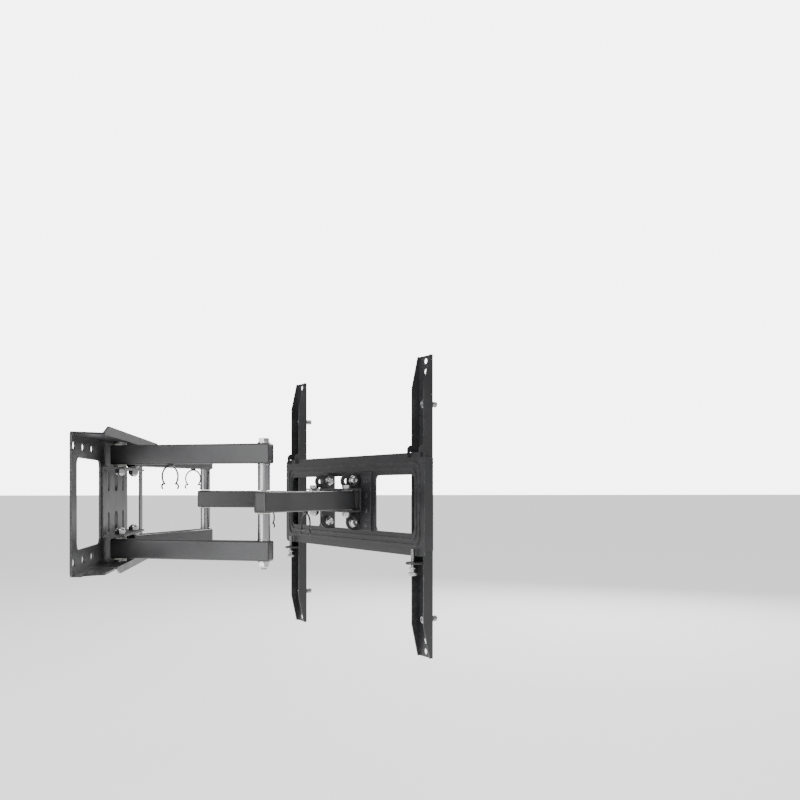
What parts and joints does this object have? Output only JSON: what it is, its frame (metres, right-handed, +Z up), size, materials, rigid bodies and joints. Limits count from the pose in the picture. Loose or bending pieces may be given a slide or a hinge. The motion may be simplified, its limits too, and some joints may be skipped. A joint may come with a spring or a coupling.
{
  "type": "full motion screen wall mount",
  "caption": "Wall mount that swings, reaches out and tilts a flat screen on two jointed arms with a slotted wall plate and upright rails.",
  "frame": {"origin": "middle of the wall plate's back face, on the wall", "axes": "+Y into the wall, +Z up, +X to the right for a viewer who faces the wall; the room is on the -Y side"},
  "size_m": [0.5766, 0.4544, 0.42],
  "materials": {
    "black_steel": "satin black powder coat with a fine grain, a little worn along the edges",
    "black_tube": "satin black powder coat with a fine grain, a little worn along the edges",
    "black_sheet": "satin black powder coat with a fine grain, a little worn along the edges",
    "zinc": "bright zinc plate with faint turning marks",
    "dark_steel": "dark polished steel sleeve",
    "cap_plastic": "moulded black plastic with a fine texture",
    "bush_plastic": "natural nylon, smooth",
    "clip_wire": "black coated spring wire"
  },
  "bodies": {
    "wall": {"wall_plate": "black_sheet", "pivot_channel": "black_sheet", "near_shoulder_bolts": "zinc", "near_shoulder_nuts": "zinc", "near_shoulder_washers": "zinc", "far_shoulder_bolts": "zinc", "far_shoulder_nuts": "zinc", "far_shoulder_washers": "zinc"},
    "near_rear_arm": {"near_upper_tube": "black_tube", "near_lower_tube": "black_tube", "near_arm_caps": "cap_plastic", "near_arm_bushes": "bush_plastic", "near_elbow_posts": "dark_steel", "near_elbow_bolt": "zinc", "near_elbow_nut": "zinc", "near_elbow_washers": "zinc", "near_arm_clip": "clip_wire"},
    "near_forearm": {"near_forearm_tube": "black_tube", "near_forearm_caps": "cap_plastic", "near_forearm_bushes": "bush_plastic", "near_forearm_clip": "clip_wire"},
    "near_rail": {"near_rail": "black_sheet", "near_lock_leaf": "black_sheet", "near_screen_screws": "zinc", "near_screen_washers": "zinc"},
    "near_lock": {"near_lock_screw": "dark_steel"},
    "far_rear_arm": {"far_upper_tube": "black_tube", "far_lower_tube": "black_tube", "far_arm_caps": "cap_plastic", "far_arm_bushes": "bush_plastic", "far_elbow_posts": "dark_steel", "far_elbow_bolts": "zinc", "far_elbow_nut": "zinc", "far_elbow_washers": "zinc", "far_arm_clip": "clip_wire"},
    "far_forearm": {"far_forearm_tube": "black_tube", "far_forearm_caps": "cap_plastic", "far_forearm_bushes": "bush_plastic", "far_forearm_clip": "clip_wire"},
    "far_rail": {"far_rail": "black_sheet", "far_lock_leaf": "black_sheet", "far_screen_screws": "zinc", "far_screen_washers": "zinc"},
    "far_lock": {"far_lock_screw": "dark_steel"},
    "head": {"head_bracket": "black_steel", "head_pivot_bolts": "zinc", "head_pivot_nuts": "zinc", "tilt_bolts": "zinc", "tilt_nuts": "zinc", "tilt_washers": "zinc"},
    "screen_bracket": {"near_cheek": "black_steel", "far_cheek": "black_steel", "screen_plate": "black_sheet", "cheek_rivets": "black_steel"}
  },
  "joints": [
    {"name": "near_shoulder", "type": "hinge", "parent": "wall", "child": "near_rear_arm", "pos_m": [-0.055, -0.02, 0], "axis": [0, 0, 1], "range_deg": [-14, 20]},
    {"name": "near_elbow", "type": "hinge", "parent": "near_rear_arm", "child": "near_forearm", "pos_m": [-0.13367, -0.21471, 0], "axis": [0, 0, 1], "range_deg": [-50.3, 35.3]},
    {"name": "near_head_pivot", "type": "hinge", "parent": "near_forearm", "child": "head", "pos_m": [0.03836, -0.33516, 0], "axis": [0, 0, 1], "range_deg": [-10.3, 14.7]},
    {"name": "far_head_pivot", "type": "hinge", "parent": "head", "child": "far_forearm", "pos_m": [0.13884, -0.29042, 0], "axis": [0, 0, 1], "range_deg": [-25.9, 36.9]},
    {"name": "far_shoulder", "type": "hinge", "parent": "wall", "child": "far_rear_arm", "pos_m": [0.055, -0.02, 0], "axis": [0, 0, 1], "range_deg": [-32.4, 22.7]},
    {"name": "tilt", "type": "hinge", "parent": "head", "child": "screen_bracket", "pos_m": [0.09551, -0.32832, -0.034], "axis": [0.9135, 0.4067, 0], "range_deg": [-3, 10]},
    {"name": "near_rail_slide", "type": "slide", "parent": "screen_bracket", "child": "near_rail", "axis": [0.9135, 0.4067, 0], "range_m": [-0.002, 0.09]},
    {"name": "far_rail_slide", "type": "slide", "parent": "screen_bracket", "child": "far_rail", "axis": [0.9135, 0.4067, 0], "range_m": [-0.09, 0.01]},
    {"name": "near_lock_slide", "type": "slide", "parent": "near_rail", "child": "near_lock", "axis": [0, 0, -1], "range_m": [0, 0.012]},
    {"name": "far_lock_slide", "type": "slide", "parent": "far_rail", "child": "far_lock", "axis": [0, 0, -1], "range_m": [0, 0.012]}
  ],
  "couplings": [
    {"joint": "near_elbow", "follows": "near_shoulder", "ratio": -2.5098},
    {"joint": "near_head_pivot", "follows": "near_shoulder", "ratio": 0.7284},
    {"joint": "far_head_pivot", "follows": "near_shoulder", "ratio": 1.8401},
    {"joint": "far_shoulder", "follows": "near_shoulder", "ratio": -1.6105}
  ]
}
